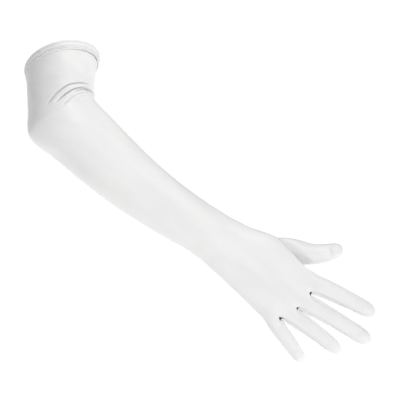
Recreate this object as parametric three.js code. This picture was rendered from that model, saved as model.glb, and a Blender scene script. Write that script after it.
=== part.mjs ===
// Right-hand opera glove of stretch satin, held as an arm holds it: elbow bent, fingers spread.
// Millimetres. X runs from the elbow towards the fingertips, Z is up, and the back of the hand faces -Y.
// The origin is the middle of the mouth of the cuff.
import * as THREE from 'three';

// Cloth
const WALL = 1.2;
const SEAM_GAP = 0.4;
const SATIN = { color: 0xf4f3f1, roughness: 0.45, metalness: 0 };

// Cuff hem, two layers of satin turned over at the mouth. It stands a little proud of the sleeve
const HEM = { height: 10, wall: 2.4, proud: 1.0, clearance: 0.8 };

// Columns of cloth round the sleeve: 12 over the back, 12 over the palm, and one each side of both edges
const COLUMNS = 28;
const RADIAL = 0;
const ULNAR = 14;

// Roundness of a section: 2 draws the ellipse of the sleeve, more draws the flatter back of the knuckles
const ROUNDNESS = { sleeve: 2, knuckles: 2.8 };

// Each row is a section across the glove, from the mouth to the knuckles.
// outer is the elbow and little finger edge, inner the crook and thumb edge, both as [x, z].
// y places the section front to back, back and palm are its half depths towards -Y and +Y.
// lean tips the section about its own line, in degrees, and bow carries the middle of the line towards
// the fingertips. Both are 0 where a row has none.
const SECTIONS = [
  { name: 'mouth', outer: [-40.4, -10.8], inner: [40.2, 10.7], y: 0, back: 41, palm: 41, lean: 35 },
  { name: 'under hem', outer: [-39.0, -20.0], inner: [38.2, -0.8], y: -7, back: 38, palm: 38, lean: 34 },
  { name: 'upper arm', outer: [-37.9, -38.2], inner: [35.8, -16.7], y: -19, back: 36, palm: 36, lean: 31 },
  { name: 'fold lip', outer: [-36.9, -56.1], inner: [35.5, -29.3], y: -30, back: 36, palm: 36, lean: 27 },
  { name: 'elbow', outer: [-35.9, -79.9], inner: [36.0, -39.2], y: -39, back: 36, palm: 37, lean: 17 },
  { name: 'elbow tip', outer: [-27.2, -90.8], inner: [41.0, -46.5], y: -41.5, back: 36, palm: 37, lean: 9 },
  { name: 'below elbow', outer: [-7.0, -106.1], inner: [49.9, -55.0], y: -42, back: 36, palm: 37, lean: 3 },
  { name: 'forearm', outer: [23.2, -131.5], inner: [74.2, -80.8], y: -42, back: 35, palm: 36 },
  { name: 'mid forearm', outer: [61.3, -159.9], inner: [108.1, -113.6], y: -42, back: 31, palm: 32 },
  { name: 'slim forearm', outer: [100.0, -184.3], inner: [144.3, -143.1], y: -42, back: 26, palm: 27 },
  { name: 'wrist', outer: [146.1, -211.2], inner: [184.0, -169.1], y: -42, back: 20, palm: 21 },
  { name: 'heel of hand', outer: [170.9, -232.7], inner: [209.4, -182.2], y: -42, back: 16, palm: 18 },
  { name: 'thumb root', outer: [190.0, -250.6], inner: [233.5, -190.5], y: -42, back: 13, palm: 18, bow: 1 },
  { name: 'mid palm', outer: [204.5, -264.4], inner: [252.0, -208.5], y: -42, back: 12, palm: 16, bow: 4 },
  { name: 'knuckles', outer: [215.2, -275.0], inner: [265.8, -222.7], y: -42, back: 11, palm: 13, bow: 10 },
];

// Creases that the bent elbow presses into the crook. at is the distance from the mouth, droop how much
// further down the crease lies where it ends, reach the angle from the crook to that end, in degrees
const CREASES = [
  { name: 'upper crease', at: 52.5, droop: 11, reach: 104, depth: 2.2, width: 2.8 },
  { name: 'deep crease', at: 58.5, droop: 6, reach: 84, depth: 3.2, width: 2.8 },
  { name: 'lower crease', at: 66.0, droop: 3, reach: 70, depth: 1.6, width: 3.0 },
];

// The roll of cloth above each crease, as shares of the crease's width and depth, and how the crease fades
const ROLL = { above: 1.2, height: 0.6, fade: 0.7 };

// Stretches of the sleeve and hand between rings of the cloth mesh, with the step of each.
// The sleeve is a solid of its own as far as the wrist
const STRETCHES = [
  { name: 'upper arm', to: 46, step: 8.5 },
  { name: 'crook', to: 74, step: 2.6 },
  { name: 'elbow', to: 104, step: 6 },
  { name: 'forearm', to: 283, step: 12 },
  { name: 'heel of hand', to: 314, step: 10.4 },
  { name: 'hand', to: 379, step: 8.1 },
];

// The line where the fingers part, from the little finger edge to the index finger edge
const WEB_ROW = { outer: [222.6, -283.2], inner: [281.0, -232.0], y: -42, bow: 14, half: 9 };

// share is the finger's part of the web row. tip is the end of the finger as [x, z].
// base, mid and end are widths, side bows the finger sideways and curl bends its tip to the palm
const FINGERS = [
  { name: 'index', share: 0.265, tip: [344.0, -276.2], base: 22.0, mid: 19.6, end: 16.8, side: 1.0, curl: 4 },
  { name: 'middle', share: 0.27, tip: [339.0, -307.3], base: 21.5, mid: 18.7, end: 17.6, side: 1.2, curl: 4 },
  { name: 'ring', share: 0.275, tip: [305.8, -317.8], base: 20.5, mid: 18.3, end: 15.8, side: 1.0, curl: 5 },
  { name: 'little', share: 0.19, tip: [265.0, -328.3], base: 18.5, mid: 16.9, end: 13.8, side: 0.3, curl: 5 },
];
const FINGER = { columns: 10, step: 8, thickness: 0.86, dome: 0.62 };

// A crotch lies between two fingers, where their back and palm columns meet
const CROTCHES = [
  { radial: 'index', ulnar: 'middle', back: 4, palm: 24 },
  { radial: 'middle', ulnar: 'ring', back: 7, palm: 21 },
  { radial: 'ring', ulnar: 'little', back: 10, palm: 18 },
];
const CROTCH_AHEAD = 2.5;

// Half the angle that the side of a finger takes up, which is the width of its fourchette
const FOURCHETTE_ANGLE = { base: 48, end: 24 };

// Columns between one edge of a finger's back and the other
const FINGER_SPAN = 3;

// Each row is a section across the thumb: its middle [x, y, z], its height and its depth front to back
const THUMB = [
  { name: 'hole', middle: [247.0, -31.0, -210.0], height: 43, depth: 20 },
  { name: 'ball', middle: [255.5, -29.0, -209.0], height: 33.5, depth: 25 },
  { name: 'root', middle: [264.0, -28.5, -209.6], height: 27.0, depth: 23 },
  { name: 'knuckle', middle: [276.0, -28.0, -211.2], height: 22.8, depth: 20.5 },
  { name: 'below nail', middle: [288.5, -27.0, -210.4], height: 20.8, depth: 18.5 },
  { name: 'nail', middle: [299.0, -26.0, -207.6], height: 17.6, depth: 15.5 },
];
const THUMB_STEP = 6.5;
const THUMB_TIP = 11;

// Turn of the thumb's columns against the rim of its hole, in degrees, and the part of the palm it takes
const THUMB_TURN = 30;
const THUMB_HOLE = { rings: 5, columns: 5 };

// Rings that round off the end of a finger, as angles up the dome
const DOME_RINGS = [32, 60];

const { degToRad, radToDeg, lerp, smoothstep } = THREE.MathUtils;
const FRONT_TO_BACK = new THREE.Vector3(0, 1, 0);
const UP = new THREE.Vector3(0, 0, 1);
const xz = ([x, z], y) => new THREE.Vector3(x, y, z);

// A smooth value between the rows of a table. at holds the place of each row, read picks its column
function between(rows, at, place, read) {
  const last = rows.length - 1;
  let i = 0;
  while (i < last - 1 && place > at[i + 1]) i++;
  const slope = (row) => {
    const before = Math.max(row - 1, 0);
    const after = Math.min(row + 1, last);
    return (read(rows[after]) - read(rows[before])) / (at[after] - at[before]);
  };
  const span = at[i + 1] - at[i];
  const t = (place - at[i]) / span;
  const level = lerp(read(rows[i]), read(rows[i + 1]), (3 - 2 * t) * t * t);
  return level + t * (1 - t) * span * ((1 - t) * slope(i) - t * slope(i + 1));
}

// Distances along a table's rows, measured between their middles
function distancesAlong(middles) {
  const at = [0];
  for (let i = 1; i < middles.length; i++) at.push(at[i - 1] + middles[i].distanceTo(middles[i - 1]));
  return at;
}

const sectionAt = distancesAlong(SECTIONS.map((row) => xz(row.outer, row.y).lerp(xz(row.inner, row.y), 0.5)));
const knuckleLength = sectionAt.at(-1);

// The section at a distance along the glove, with every column of the table worked out
function sectionAtLength(length) {
  const read = (pick) => between(SECTIONS, sectionAt, length, pick);
  return {
    outer: [read((row) => row.outer[0]), read((row) => row.outer[1])],
    inner: [read((row) => row.inner[0]), read((row) => row.inner[1])],
    y: read((row) => row.y),
    back: read((row) => row.back),
    palm: read((row) => row.palm),
    lean: degToRad(read((row) => row.lean ?? 0)),
    bow: read((row) => row.bow ?? 0),
  };
}

// A point of a section: across runs from -1 at the outer edge to 1 at the inner edge, depth from -1 to 1
function onSection(section, across, depth) {
  const outer = xz(section.outer, section.y);
  const inner = xz(section.inner, section.y);
  const line = inner.clone().sub(outer).normalize();
  const ahead = FRONT_TO_BACK.clone().cross(line);
  const toPalm = ahead.clone().multiplyScalar(Math.sin(section.lean));
  toPalm.addScaledVector(FRONT_TO_BACK, Math.cos(section.lean));
  const point = outer.lerp(inner, (1 + across) / 2);
  point.addScaledVector(ahead, section.bow * (1 - across * across));
  return point.addScaledVector(toPalm, depth * (depth < 0 ? section.back : section.palm));
}

// The angle of a finger's column, with its side columns as wide as the fourchettes
function fingerAngle(column, side) {
  const half = FINGER.columns / 2;
  const turned = column % half;
  const angle = turned === 0 ? 0 : lerp(side, 180 - side, (turned - 1) / (half - 2));
  return degToRad(column < half ? angle : 180 + angle);
}

// Where a column stands on the web row: across from -1 to 1, and its depth as a share of the finger's
const shareEnds = [1];
for (const finger of FINGERS) shareEnds.push(shareEnds.at(-1) - 2 * finger.share);
function onWebRow(column) {
  const fromRadial = Math.min(column, COLUMNS - column);
  if (fromRadial === 0 || fromRadial === ULNAR) return { across: fromRadial === 0 ? 1 : -1, depth: 0 };
  const finger = Math.min(Math.floor((fromRadial - 1) / FINGER_SPAN), FINGERS.length - 1);
  const step = fromRadial - 1 - FINGER_SPAN * finger;
  const angle = fingerAngle(step + 1, FOURCHETTE_ANGLE.base);
  const rounded = (1 - Math.cos(angle)) / 2;
  const atRadial = finger === 0 && step === 0;
  const atUlnar = finger === FINGERS.length - 1 && step === FINGER_SPAN;
  const part = atRadial || atUlnar ? rounded : step / FINGER_SPAN;
  const across = lerp(shareEnds[finger], shareEnds[finger + 1], part);
  return { across, depth: Math.sin(angle) };
}

// How far the creases of the crook push the cloth in or out, at a distance and an angle from the crook
function creaseDepth(length, angle) {
  const fromCrook = Math.abs(radToDeg(angle));
  let out = 0;
  for (const crease of CREASES) {
    const share = fromCrook / crease.reach;
    if (share >= 1) continue;
    const x = (length - crease.at - crease.droop * share * share) / crease.width;
    const fade = (1 - share * share) ** ROLL.fade;
    out += crease.depth * fade * (ROLL.height * Math.exp(-((x + ROLL.above) ** 2)) - Math.exp(-x * x));
  }
  return out;
}

// A ring of the sleeve or hand, its columns shifting from even spaces to the lines of the fingers
function sleeveRing(length) {
  const section = sectionAtLength(length);
  const spread = smoothstep(length, STRETCHES.at(-2).to, knuckleLength);
  const roundness = lerp(ROUNDNESS.sleeve, ROUNDNESS.knuckles, spread);
  const middle = onSection(section, 0, 0);
  const ring = [];
  for (let column = 0; column < COLUMNS; column++) {
    const angle = (column / COLUMNS) * 2 * Math.PI;
    const across = lerp(Math.cos(angle), onWebRow(column).across, spread);
    const depth = Math.max(0, 1 - Math.abs(across) ** roundness) ** (1 / roundness);
    const point = onSection(section, across, column < ULNAR ? -depth : depth);
    const out = point.clone().sub(middle).normalize();
    ring.push(point.addScaledVector(out, creaseDepth(length, column <= ULNAR ? angle : angle - 2 * Math.PI)));
  }
  return ring;
}

// Cloth mesh: points, and faces that each belong to one piece
const points = [];
const faces = [];
const addPoint = (point) => points.push(point) - 1;
const addFace = (piece, corners) => faces.push({ piece, corners });

// Faces between two rings of the same columns
function joinRings(first, second, pieceAt) {
  first.forEach((corner, k) => {
    const next = (k + 1) % first.length;
    const piece = pieceAt(k);
    if (piece) addFace(piece, [corner, first[next], second[next], second[k]]);
  });
}

// Rings that draw a tube in to its tip, and the faces that close it
function closeTip(ring, tipRing, pole, piece) {
  let last = ring;
  for (const lift of DOME_RINGS) {
    const next = tipRing(Math.sin(degToRad(lift)), Math.cos(degToRad(lift)));
    joinRings(last, next, () => piece);
    last = next;
  }
  const end = addPoint(pole);
  last.forEach((corner, k) => addFace(piece, [corner, last[(k + 1) % last.length], end]));
}

// Sleeve and hand, with the thumb hole left open
const rings = [];
let reached = HEM.height + HEM.clearance;
let wristRing = 0;
rings.push(sleeveRing(reached).map(addPoint));
for (const stretch of STRETCHES) {
  const count = Math.round((stretch.to - reached) / stretch.step);
  for (let i = 1; i <= count; i++) rings.push(sleeveRing(lerp(reached, stretch.to, i / count)).map(addPoint));
  reached = stretch.to;
  if (stretch.name === 'forearm') wristRing = rings.length - 1;
}
const holeEnd = rings.length - 1;
const holeStart = holeEnd - THUMB_HOLE.rings;
const holeColumn = COLUMNS - THUMB_HOLE.columns;

const isWeb = (column) => CROTCHES.some((crotch) => crotch.back === column || crotch.palm === column);
const webRing = [];
for (let column = 0; column < COLUMNS; column++) {
  const { across, depth } = onWebRow(column);
  const bow = WEB_ROW.bow - (isWeb(column) ? CROTCH_AHEAD : 0);
  const section = { ...WEB_ROW, back: WEB_ROW.half, palm: WEB_ROW.half, lean: 0, bow };
  webRing.push(onSection(section, across, column < ULNAR ? -depth : depth));
}
// A ring halfway between the last of the hand and the web row, then the web row itself
const knuckleRing = rings.at(-1).map((index, column) => points[index].clone().lerp(webRing[column], 0.5));
rings.push(knuckleRing.map(addPoint));
rings.push(webRing.map(addPoint));
for (let i = 0; i < rings.length - 1; i++) {
  const piece = i < wristRing ? 'sleeve' : 'hand';
  const beside = i >= holeStart && i < holeEnd;
  joinRings(rings[i], rings[i + 1], (column) => (beside && column >= holeColumn ? null : piece));
}

// Fingers, each a tube from its part of the web row to a domed tip
const webs = rings.at(-1);
for (const crotch of CROTCHES) {
  const section = { ...WEB_ROW, back: 0, palm: 0, lean: 0, bow: WEB_ROW.bow + CROTCH_AHEAD };
  crotch.middle = addPoint(onSection(section, onWebRow(crotch.back).across, 0));
  crotch.piece = `fourchette_${crotch.radial}_${crotch.ulnar}`;
}
FINGERS.forEach((finger, order) => {
  const towardsThumb = CROTCHES.find((crotch) => crotch.ulnar === finger.name);
  const towardsLittle = CROTCHES.find((crotch) => crotch.radial === finger.name);
  const first = 1 + FINGER_SPAN * order;
  const back = [0, 1, 2, 3].map((k) => webs[first + k]);
  const palm = [0, 1, 2, 3].map((k) => webs[COLUMNS - first - FINGER_SPAN + k]);
  const radialSide = towardsThumb ? towardsThumb.middle : webs[RADIAL];
  const ulnarSide = towardsLittle ? towardsLittle.middle : webs[ULNAR];
  let ring = [radialSide, ...back, ulnarSide, ...palm];

  const start = points[radialSide].clone().lerp(points[ulnarSide], 0.5);
  const tip = xz(finger.tip, WEB_ROW.y);
  const along = tip.clone().sub(start).normalize();
  const toSide = along.clone().cross(FRONT_TO_BACK);
  const length = tip.distanceTo(start);
  const straight = length - finger.end * FINGER.dome;
  const addRing = (distance, width) => {
    const t = distance / length;
    const middle = start.clone().addScaledVector(along, distance);
    middle.addScaledVector(toSide, finger.side * 4 * t * (1 - t));
    middle.addScaledVector(FRONT_TO_BACK, finger.curl * t * t);
    const side = lerp(FOURCHETTE_ANGLE.base, FOURCHETTE_ANGLE.end, Math.min(1, distance / straight));
    return Array.from({ length: FINGER.columns }, (unused, k) => {
      const angle = fingerAngle(k, side);
      const point = middle.clone().addScaledVector(toSide, (Math.cos(angle) * width) / 2);
      const towardsBack = (Math.sin(angle) * width * FINGER.thickness) / 2;
      return addPoint(point.addScaledVector(FRONT_TO_BACK, -towardsBack));
    });
  };
  const half = FINGER.columns / 2;
  const pieceAt = (k) => {
    if (towardsThumb && (k === 0 || k === FINGER.columns - 1)) return towardsThumb.piece;
    if (towardsLittle && (k === half - 1 || k === half)) return towardsLittle.piece;
    return 'hand';
  };
  const steps = Math.round(straight / FINGER.step);
  for (let i = 1; i <= steps; i++) {
    const t = i / steps;
    const width = t < 0.5 ? lerp(finger.base, finger.mid, 2 * t) : lerp(finger.mid, finger.end, 2 * t - 1);
    const next = addRing(straight * t, width);
    joinRings(ring, next, pieceAt);
    ring = next;
  }
  const tipRing = (rise, scale) => addRing(straight + (length - straight) * rise, finger.end * scale);
  closeTip(ring, tipRing, tip.clone().addScaledVector(FRONT_TO_BACK, finger.curl), 'hand');
});

// Thumb, a tube that leaves the rim of the thumb hole and turns into round sections
const rim = [];
for (let i = holeStart; i < holeEnd; i++) rim.push(rings[i][RADIAL]);
for (let column = COLUMNS; column > holeColumn; column--) rim.push(rings[holeEnd][column % COLUMNS]);
for (let i = holeEnd; i > holeStart; i--) rim.push(rings[i][holeColumn]);
for (let column = holeColumn; column < COLUMNS; column++) rim.push(rings[holeStart][column]);

const thumbAt = distancesAlong(THUMB.map((row) => new THREE.Vector3(...row.middle)));
const thumbLength = thumbAt.at(-1);
const thumbRound = thumbAt[THUMB.findIndex((row) => row.name === 'root')];
function thumbMiddle(place) {
  const read = (axis) => between(THUMB, thumbAt, place, (row) => row.middle[axis]);
  return new THREE.Vector3(read(0), read(1), read(2));
}
function thumbRing(place, ahead, scale) {
  const behind = Math.max(place - 1, 0);
  const along = thumbMiddle(behind + 1).sub(thumbMiddle(behind)).normalize();
  const middle = thumbMiddle(place).addScaledVector(along, ahead);
  const height = between(THUMB, thumbAt, place, (row) => row.height) * scale;
  const depth = between(THUMB, thumbAt, place, (row) => row.depth) * scale;
  const toTop = UP.clone().addScaledVector(along, -along.z).normalize();
  const toBack = toTop.clone().cross(along);
  const round = Math.sin((Math.min(1, place / thumbRound) * Math.PI) / 2);
  return rim.map((index, k) => {
    const angle = -degToRad(THUMB_TURN + (360 * k) / rim.length);
    const point = middle.clone().addScaledVector(toTop, (Math.cos(angle) * height) / 2);
    point.addScaledVector(toBack, (Math.sin(angle) * depth) / 2);
    return addPoint(points[index].clone().lerp(point, round));
  });
}
let thumbEdge = rim;
const thumbSteps = Math.round(thumbLength / THUMB_STEP);
for (let i = 1; i <= thumbSteps; i++) {
  const next = thumbRing((thumbLength * i) / thumbSteps, 0, 1);
  joinRings(thumbEdge, next, () => 'thumb');
  thumbEdge = next;
}
const thumbTipRing = (rise, scale) => thumbRing(thumbLength, THUMB_TIP * rise, scale);
const thumbEnd = thumbMiddle(thumbLength);
const thumbAlong = thumbEnd.clone().sub(thumbMiddle(thumbLength - 1)).normalize();
closeTip(thumbEdge, thumbTipRing, thumbEnd.clone().addScaledVector(thumbAlong, THUMB_TIP), 'thumb');

// Outward direction of the cloth at each point
const outward = points.map(() => new THREE.Vector3());
for (const { corners } of faces) {
  const [a, b, c] = corners.map((index) => points[index]);
  const last = points[corners.at(-1)];
  const normal = c.clone().sub(a).cross(last.clone().sub(b)).normalize();
  for (const index of corners) outward[index].add(normal);
}
for (const direction of outward) direction.normalize();

function solidMesh(name, positions, triangles) {
  const geometry = new THREE.BufferGeometry();
  geometry.setAttribute('position', new THREE.Float32BufferAttribute(positions, 3));
  geometry.setIndex(triangles);
  geometry.computeVertexNormals();
  const mesh = new THREE.Mesh(geometry, new THREE.MeshStandardMaterial(SATIN));
  mesh.name = name;
  return mesh;
}

// A piece of cloth as a closed solid: outside, inside, and an edge all round that stops short of the seam
function clothPiece(name) {
  const own = faces.filter((face) => face.piece === name);
  const sides = new Map();
  for (const { corners } of own) {
    corners.forEach((from, k) => {
      const to = corners[(k + 1) % corners.length];
      sides.set(`${from},${to}`, [from, to]);
    });
  }
  const border = [...sides.values()].filter(([from, to]) => !sides.has(`${to},${from}`));
  const inset = new Map(border.flat().map((index) => [index, new THREE.Vector3()]));
  for (const { corners } of own) {
    const centre = new THREE.Vector3();
    for (const index of corners) centre.addScaledVector(points[index], 1 / corners.length);
    for (const index of corners) {
      if (inset.has(index)) inset.get(index).add(centre.clone().sub(points[index]).normalize());
    }
  }
  const numbers = new Map();
  const positions = [];
  const corner = (index, inside) => {
    const key = `${index},${inside}`;
    if (!numbers.has(key)) {
      const point = points[index].clone();
      if (inset.has(index)) point.addScaledVector(inset.get(index).clone().normalize(), SEAM_GAP);
      if (inside) point.addScaledVector(outward[index], -WALL);
      numbers.set(key, positions.length / 3);
      positions.push(...point.toArray());
    }
    return numbers.get(key);
  };
  const triangles = [];
  for (const { corners } of own) {
    for (let k = 1; k < corners.length - 1; k++) {
      const [a, b, c] = [corners[0], corners[k], corners[k + 1]];
      triangles.push(corner(a, false), corner(b, false), corner(c, false));
      triangles.push(corner(c, true), corner(b, true), corner(a, true));
    }
  }
  for (const [from, to] of border) {
    triangles.push(corner(to, false), corner(from, false), corner(from, true));
    triangles.push(corner(to, false), corner(from, true), corner(to, true));
  }
  return solidMesh(name, positions, triangles);
}

// The hem, a flat band of four sides swept round the mouth
function cuffHem() {
  const count = COLUMNS * 2;
  const inside = HEM.proud - HEM.wall;
  const corners = [[0, HEM.proud], [HEM.height, HEM.proud], [HEM.height, inside], [0, inside]];
  const positions = [];
  const triangles = [];
  for (let i = 0; i < count; i++) {
    const angle = (i / count) * 2 * Math.PI;
    for (const [length, out] of corners) {
      const section = sectionAtLength(length);
      const half = xz(section.inner, 0).distanceTo(xz(section.outer, 0)) / 2;
      const across = Math.cos(angle) * (1 + out / half);
      const depth = -Math.sin(angle) * (1 + out / section.back);
      positions.push(...onSection(section, across, depth).toArray());
    }
    const here = i * corners.length;
    const next = ((i + 1) % count) * corners.length;
    corners.forEach((unused, k) => {
      const after = (k + 1) % corners.length;
      triangles.push(here + k, next + k, next + after, here + k, next + after, here + after);
    });
  }
  return solidMesh('cuff_hem', positions, triangles);
}

const glove = new THREE.Group();
glove.add(cuffHem(), clothPiece('sleeve'), clothPiece('hand'), clothPiece('thumb'));
for (const crotch of CROTCHES) glove.add(clothPiece(crotch.piece));

export default glove;
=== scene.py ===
"""Right-hand opera glove of white stretch satin, held up as a bent arm holds it.

The cloth is one cage of rings: sleeve, hand, fingers and thumb. It is subdivided, folds and seams are
pressed into it, and it is cut into the pieces that a glove is sewn from. Lengths are in millimetres until a
mesh is made.
"""
import math

import bpy
import numpy as np
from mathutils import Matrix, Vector


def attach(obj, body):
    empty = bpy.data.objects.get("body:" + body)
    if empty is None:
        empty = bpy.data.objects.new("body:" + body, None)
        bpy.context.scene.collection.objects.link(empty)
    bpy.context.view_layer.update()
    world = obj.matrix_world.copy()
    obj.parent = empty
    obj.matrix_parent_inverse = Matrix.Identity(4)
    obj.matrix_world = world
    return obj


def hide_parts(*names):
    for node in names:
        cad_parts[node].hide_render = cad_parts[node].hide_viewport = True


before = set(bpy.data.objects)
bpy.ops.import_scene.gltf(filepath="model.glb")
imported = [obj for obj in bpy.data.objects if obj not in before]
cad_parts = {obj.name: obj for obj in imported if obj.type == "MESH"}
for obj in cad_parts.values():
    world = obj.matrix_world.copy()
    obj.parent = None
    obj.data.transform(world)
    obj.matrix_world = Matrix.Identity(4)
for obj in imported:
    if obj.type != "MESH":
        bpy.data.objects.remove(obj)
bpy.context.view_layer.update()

MM = 0.001

# The cuts of cloth that the cage is sewn from, in the order of their numbers
PIECES = (
    "glove_body", "fourchette_index_middle", "fourchette_middle_ring", "fourchette_ring_little", "thumb_piece")

# Sections of the sleeve and hand: outer and inner edge as x, z, the place front to back, the half depths
# towards the back and the palm of the hand, the lean in degrees, and the bow towards the fingertips
SECTION_COLUMNS = ("outer_x", "outer_z", "inner_x", "inner_z", "y", "back", "palm", "lean", "bow")
SECTIONS = np.array([
    (-40.4, -10.8, 40.2, 10.7, 0, 41, 41, 35, 0),  # mouth
    (-39.0, -20.0, 38.2, -0.8, -7, 38, 38, 34, 0),  # under hem
    (-37.9, -38.2, 35.8, -16.7, -19, 36, 36, 31, 0),  # upper arm
    (-36.9, -56.1, 35.5, -29.3, -30, 36, 36, 27, 0),  # fold lip
    (-35.9, -79.9, 36.0, -39.2, -39, 36, 37, 17, 0),  # elbow
    (-27.2, -90.8, 41.0, -46.5, -41.5, 36, 37, 9, 0),  # elbow tip
    (-7.0, -106.1, 49.9, -55.0, -42, 36, 37, 3, 0),  # below elbow
    (23.2, -131.5, 74.2, -80.8, -42, 35, 36, 0, 0),  # forearm
    (61.3, -159.9, 108.1, -113.6, -42, 31, 32, 0, 0),  # mid forearm
    (100.0, -184.3, 144.3, -143.1, -42, 26, 27, 0, 0),  # slim forearm
    (146.1, -211.2, 184.0, -169.1, -42, 20, 21, 0, 0),  # wrist
    (170.9, -232.7, 209.4, -182.2, -42, 16, 18, 0, 0),  # heel of hand
    (190.0, -250.6, 233.5, -190.5, -42, 13, 18, 0, 1),  # thumb root
    (204.5, -264.4, 252.0, -208.5, -42, 12, 16, 0, 4),  # mid palm
    (215.2, -275.0, 265.8, -222.7, -42, 11, 13, 0, 10),  # knuckles
], float)

# How round a section is: 2 is an oval, and more is squarer
ROUND_SLEEVE, ROUND_KNUCKLES = 2.0, 2.8
COLUMNS, ULNAR = 28, 14

# Where each stretch of rings ends, measured from the mouth, and the step between its rings
STRETCHES = ((13, 1.6), (46, 5.5), (74, 1.4), (104, 6.0), (283, 12.0), (314, 10.4), (379, 8.1))
HAND_START = STRETCHES[-2][0]

# The hem's height, its two layers together, how far it stands proud of the sleeve, the height of its puff
# above that, and its points round the mouth
HEM = {"height": 10.0, "wall": 1.2, "proud": 1.0, "puff": 0.30, "around": 168}

# The line of the hem's turned edge and its two stitch rows, as distances from the mouth, and their channels,
# with the shade painted into them
HEM_ROWS = (6.3, 8.3)
HEM_LINES = (2.3, *HEM_ROWS)
HEM_CHANNEL = {"width": 0.5, "depth": 0.50, "shade": 0.13}

# How many stitches each of its rows has, and how far below the hem's outside they lie
HEM_STITCHES = {"count": 96, "below": 0.34}

# The place round the mouth where the hem's free edge stands away, in degrees from the crook
HEM_FLARE = {"angle": 22, "width": 34, "lift": 1.3}

# The sleeve's own cloth runs on under the hem: where it starts, how deep it lies there and where it comes out
TUCK = {"start": 6.6, "depth": 0.75, "from": 8.2, "to": 10.8}

# The row where the fingers part: its two ends as x, z, its y, its bow towards the fingertips and its half depth
WEB = {"outer": (222.6, -283.2), "inner": (281.0, -232.0), "y": -42.0, "bow": 14.0, "half": 9.0}
AXIS_Y = WEB["y"]
FINGERS = {
    "index": {"share": 0.265, "tip": (344.0, -276.2), "widths": (22.0, 19.6, 16.8), "side": 1.0, "curl": 4},
    "middle": {"share": 0.27, "tip": (339.0, -307.3), "widths": (21.5, 18.7, 17.6), "side": 1.2, "curl": 4},
    "ring": {"share": 0.275, "tip": (305.8, -317.8), "widths": (20.5, 18.3, 15.8), "side": 1.0, "curl": 5},
    "little": {"share": 0.19, "tip": (265.0, -328.3), "widths": (18.5, 16.9, 13.8), "side": 0.3, "curl": 5},
}
FINGER_COLUMNS, FINGER_SPAN, FINGER_STEP = 10, 3, 8.0
FINGER_THICKNESS, FINGER_DOME = 0.86, 0.62

# Half the angle that a strip takes up at the root of a finger and at its tip, in degrees
SIDE_ANGLE = (48.0, 24.0)

# Between two fingers: the columns where their backs and palms meet, and the small gap that stays open at the
# end of the strip, as how far it opens and how far it reaches
CROTCHES = (
    {"back": 4, "palm": 24, "open": 2.6, "reach": 2.2},  # index and middle
    {"back": 7, "palm": 21, "open": 2.4, "reach": 2.4},  # middle and ring
    {"back": 10, "palm": 18, "open": 3.0, "reach": 3.8},  # ring and little
)
CROTCH_AHEAD = 2.5

# Sections of the thumb: middle x, y, z, height and depth
THUMB = np.array([
    (247.0, -31.0, -210.0, 43.0, 20.0),  # hole
    (255.5, -29.0, -209.0, 33.5, 25.0),  # ball
    (264.0, -28.5, -209.6, 27.0, 23.0),  # root
    (276.0, -28.0, -211.2, 22.8, 20.5),  # knuckle
    (288.5, -27.0, -210.4, 20.8, 18.5),  # below nail
    (299.0, -26.0, -207.6, 17.6, 15.5),  # nail
], float)
THUMB_ROOT_ROW = 2
THUMB_STEP, THUMB_TIP, THUMB_TURN, THUMB_WIDTH = 6.5, 11.0, 30.0, 17.0
HOLE_RINGS, HOLE_COLUMNS = 5, 5

# Angles of the rings of a domed tip, and what the smoothing of the cage takes off its end
DOME_RINGS = (32.0, 60.0)
TIP_ALLOWANCE = 1.3

# The place given to rings of fingers and thumb, past every fold of the sleeve
PAST_SLEEVE = (999.0, 0.0, 0.0)

# Folds of the crook, front and back: the distance from the mouth at each angle from the crook, in degrees.
# lip is the height of the cloth above a fold and puff of that below it, cut the depth of the groove between,
# over how far the lip hangs down over the groove, and shade how dark the shade painted into the groove is at
# its first and last angle, which stands in for the shade of the cloth that a real fold takes in deeper than
# this groove
FOLD_COLUMNS = ("side", "angles", "at", "lip", "puff", "cut", "over", "shade")
CROOK_FOLDS = (
    (1, (24, 45, 68, 80, 90, 103), (51.6, 51.7, 52.8, 56.0, 58.9, 63.6), 1.2, 0.9, 5.2, 0.8, (0.12, 0.42)),
    (1, (6, 13, 21, 33, 46, 60, 78, 88), (67.0, 63.6, 60.4, 58.2, 57.6, 59.2, 63.3, 66.0),
     1.7, 0.2, 6.4, 1.0, (0.5, 0.08)),
    (1, (4, 14, 24, 45, 56), (65.0, 63.0, 61.3, 61.0, 62.4), 0.7, 0.3, 3.0, 0.6, (0.3, 0.1)),
    (1, (20, 34, 50, 66, 80), (65.0, 65.0, 66.0, 68.6, 72.4), 0.5, 0.3, 1.8, 0.4, (0.08, 0.1)),
    (1, (14, 28, 44, 58), (69.4, 69.2, 70.2, 72.6), 0.3, 0.2, 1.1, 0.2, (0.06, 0.06)),
    (-1, (10, 45, 70, 96), (54.0, 52.6, 55.0, 62.0), 1.1, 0.7, 4.6, 0.8, (0.12, 0.4)),
    (-1, (2, 20, 50, 82), (61.6, 59.0, 59.6, 65.5), 1.5, 0.2, 5.6, 1.0, (0.45, 0.1)),
    (-1, (8, 26, 52, 70), (65.5, 65.0, 66.6, 70.0), 0.5, 0.3, 1.6, 0.4, (0.1, 0.1)),
)

# How soon lip and puff run out, the half width of a groove, and where the lip that hangs over it starts
FOLD = {"fade": 3.2, "groove": 1.0, "lip_at": -1.0, "lip_width": 0.9}

# Drag lines: where they are along the arm, how far they spread, and how high they stand
ELBOW_DRAG = {"at": 92, "spread": 26, "height": 0.30}
WRIST_DRAG = {"at": 287, "spread": 24, "height": 0.22}
UNEVEN_HEIGHT = 0.12

# A nail under the cloth, measured back from the fingertip: where its plate starts and ends, the dent behind
# it, and how high the one and how deep the other is on a finger. On the thumb both are more
NAIL = {"start": (2.0, 4.0), "end": (12.5, 15.0), "dent": 15.6, "dent_width": 1.8, "high": 0.42, "deep": 0.30}
THUMB_NAIL = 2.6

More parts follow.
